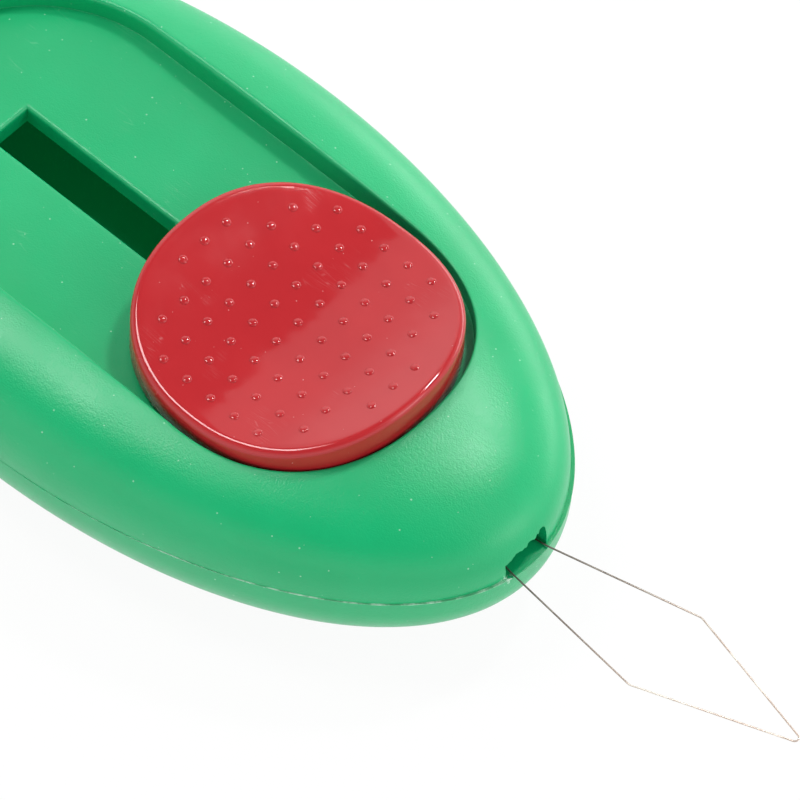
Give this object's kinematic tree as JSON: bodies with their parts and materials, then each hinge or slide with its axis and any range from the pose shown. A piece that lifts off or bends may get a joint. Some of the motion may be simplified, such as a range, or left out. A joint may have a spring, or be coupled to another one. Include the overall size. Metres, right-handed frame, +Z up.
{
  "type": "retractable needle threader",
  "caption": "Oval two-shell pod with a red thumb slider in a sunk track; sliding it pushes a fine diamond wire loop out of the nose to pull thread through a needle's eye.",
  "frame": {"origin": "centre of the flat base under the lower shell", "axes": "+X forward along the slide to the wire's tip, +Y to the left, +Z up through the thumb button"},
  "size_m": [0.0649, 0.0258, 0.0112],
  "materials": {
    "green_shell": "satin moulded plastic with a fine grain",
    "red_button": "glossy moulded plastic",
    "natural_plastic": "plain moulded plastic",
    "brass_crimp": "pressed sheet",
    "steel_wire": "drawn bright wire"
  },
  "bodies": {
    "pod": {"upper_shell": "green_shell", "lower_shell": "green_shell"},
    "slider": {"thumb_button": "red_button", "slide_carriage": "natural_plastic", "wire_crimp": "brass_crimp", "wire_loop": "steel_wire"}
  },
  "joints": [
    {"name": "thread_slide", "type": "slide", "parent": "pod", "child": "slider", "axis": [1, 0, 0], "range_m": [-0.0174, 0], "deforming": ["wire_loop"]}
  ]
}
